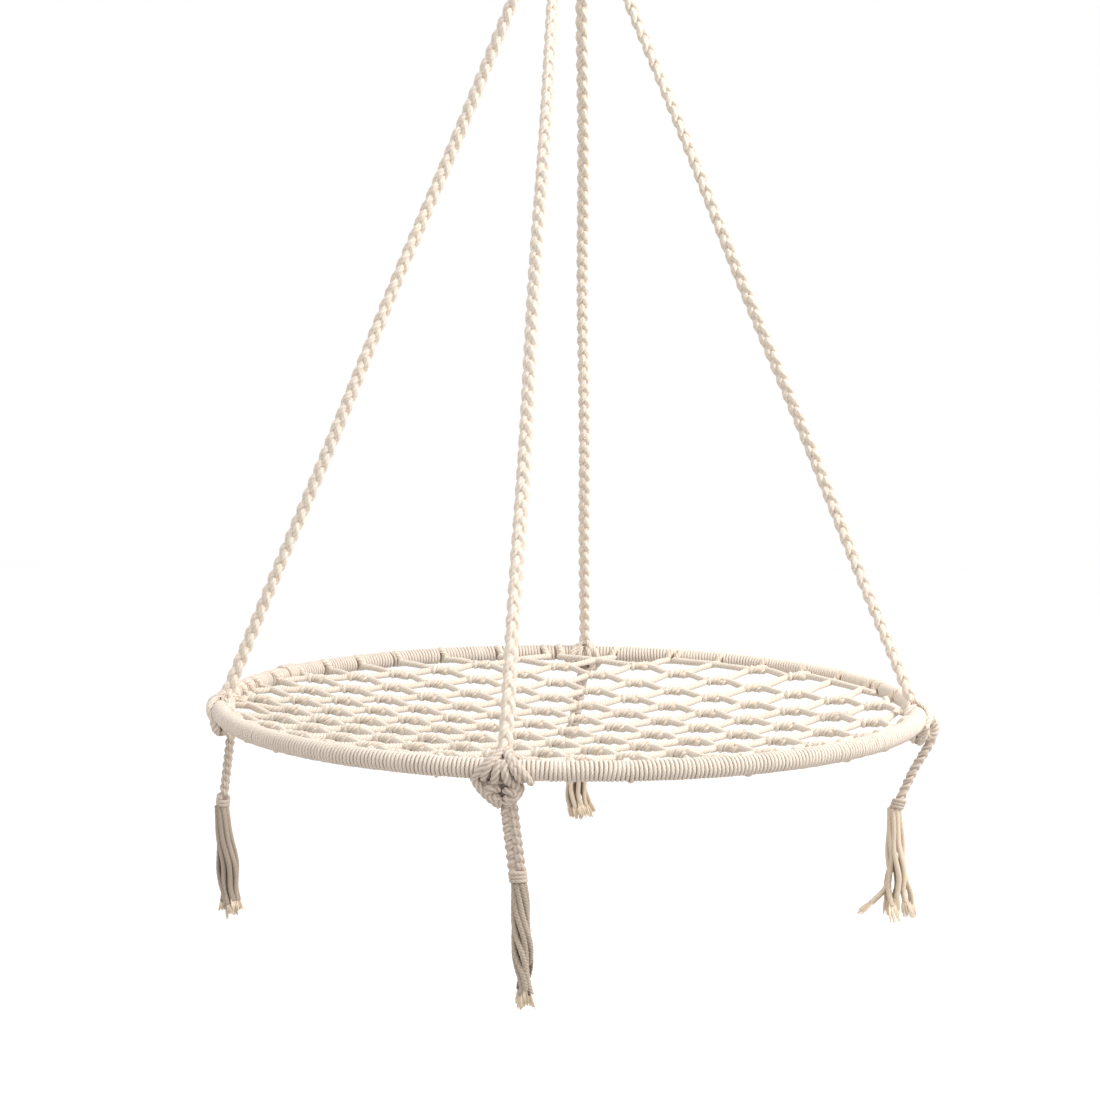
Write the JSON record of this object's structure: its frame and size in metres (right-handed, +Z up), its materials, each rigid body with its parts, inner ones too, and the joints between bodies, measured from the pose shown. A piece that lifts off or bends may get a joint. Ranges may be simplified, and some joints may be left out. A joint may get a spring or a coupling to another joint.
{
  "type": "macrame saucer swing",
  "caption": "Round saucer swing: a cord-wrapped steel hoop with a knotted diamond net, hung on braids from a ring and carabiner, with a fringed tail under each knot.",
  "frame": {"origin": "inner top of the carabiner, where the hook or eye that holds the swing bears", "axes": "+Z up along the line of hang, -Y towards the front hanging and its tail, +X to the right seen from the front"},
  "size_m": [1.007, 1.0108, 1.6744],
  "materials": {
    "zinc_steel": "bright zinc-plated steel, lightly brushed",
    "tube_steel": "plain bent steel tube, hidden under the cord",
    "cotton_wrap": "natural cream cotton cord wound close, matt with fine fuzz",
    "cotton_braid": "natural cotton braid, matt, slightly grey in the creases",
    "cotton_net": "natural cream twisted cotton cord, matt with fine fuzz",
    "cotton_fringe": "loose cotton strands with frayed ends"
  },
  "bodies": {
    "hanger": {"carabiner_body": "zinc_steel"},
    "gate": {"carabiner_gate": "zinc_steel"},
    "ring": {"hanging_ring": "zinc_steel"},
    "rope_top": {"rope_bight_left": "cotton_braid", "rope_bight_right": "cotton_braid", "gathering_wrap": "cotton_wrap"},
    "seat": {"suspension_braid_front": "cotton_braid", "suspension_braid_right": "cotton_braid", "suspension_braid_back": "cotton_braid", "suspension_braid_left": "cotton_braid", "hoop_tube": "tube_steel", "hoop_spigot": "tube_steel", "hoop_wrap_left_front": "cotton_wrap", "hoop_wrap_front_right": "cotton_wrap", "hoop_wrap_right_back": "cotton_wrap", "hoop_wrap_back_left": "cotton_wrap", "hoop_knot_front": "cotton_braid", "hoop_knot_right": "cotton_braid", "hoop_knot_back": "cotton_braid", "hoop_knot_left": "cotton_braid", "net": "cotton_net"},
    "tail_front": {"tail_braid_front": "cotton_braid", "tail_whipping_front": "cotton_wrap"},
    "fringe_front": {"fringe_front": "cotton_fringe"},
    "tail_right": {"tail_braid_right": "cotton_braid", "tail_whipping_right": "cotton_wrap"},
    "fringe_right": {"fringe_right": "cotton_fringe"},
    "tail_back": {"tail_braid_back": "cotton_braid", "tail_whipping_back": "cotton_wrap"},
    "fringe_back": {"fringe_back": "cotton_fringe"},
    "tail_left": {"tail_braid_left": "cotton_braid", "tail_whipping_left": "cotton_wrap"},
    "fringe_left": {"fringe_left": "cotton_fringe"}
  },
  "joints": [
    {"name": "gate_open", "type": "hinge", "parent": "hanger", "child": "gate", "pos_m": [0, 0.016, -0.0194], "axis": [-1, 0, 0], "range_deg": [0, 25], "stiffness_Nm_per_rad": 0.05, "springref_deg": -11.46},
    {"name": "sway_sideways", "type": "hinge", "parent": "hanger", "child": "ring", "pos_m": [0, 0, -0.072], "axis": [0, 1, 0], "range_deg": [-35, 35]},
    {"name": "swing_front_back", "type": "hinge", "parent": "ring", "child": "rope_top", "pos_m": [0, 0, -0.1477], "axis": [1, 0, 0], "range_deg": [-45, 45]},
    {"name": "seat_spin", "type": "hinge", "parent": "rope_top", "child": "seat", "pos_m": [0, 0, -0.237], "axis": [0, 0, 1], "range_deg": [-180, 180], "stiffness_Nm_per_rad": 0.3},
    {"name": "tail_front_swing", "type": "hinge", "parent": "seat", "child": "tail_front", "pos_m": [-0.06318, -0.489, -1.413], "axis": [0.9877, -0.1564, 0], "range_deg": [-50, 50]},
    {"name": "fringe_front_swing", "type": "hinge", "parent": "tail_front", "child": "fringe_front", "pos_m": [-0.04968, -0.489, -1.5137], "axis": [0.9877, -0.1564, 0], "range_deg": [-35, 35]},
    {"name": "tail_right_swing", "type": "hinge", "parent": "seat", "child": "tail_right", "pos_m": [0.496, -0.08418, -1.413], "axis": [0.1564, 0.9877, 0], "range_deg": [-50, 50]},
    {"name": "fringe_right_swing", "type": "hinge", "parent": "tail_right", "child": "fringe_right", "pos_m": [0.45907, -0.08418, -1.50765], "axis": [0.1564, 0.9877, 0], "range_deg": [-35, 35]},
    {"name": "tail_back_swing", "type": "hinge", "parent": "seat", "child": "tail_back", "pos_m": [0.02849, 0.47833, -1.413], "axis": [-0.9986, 0.0523, 0], "range_deg": [-50, 50]},
    {"name": "fringe_back_swing", "type": "hinge", "parent": "tail_back", "child": "fringe_back", "pos_m": [0.01139, 0.47833, -1.51315], "axis": [-0.9986, 0.0523, 0], "range_deg": [-35, 35]},
    {"name": "tail_left_swing", "type": "hinge", "parent": "seat", "child": "tail_left", "pos_m": [-0.461, -0.08418, -1.413], "axis": [0.1564, -0.9877, 0], "range_deg": [-50, 50]},
    {"name": "fringe_left_swing", "type": "hinge", "parent": "tail_left", "child": "fringe_left", "pos_m": [-0.4733, -0.08418, -1.51385], "axis": [0.1564, -0.9877, 0], "range_deg": [-35, 35]}
  ]
}
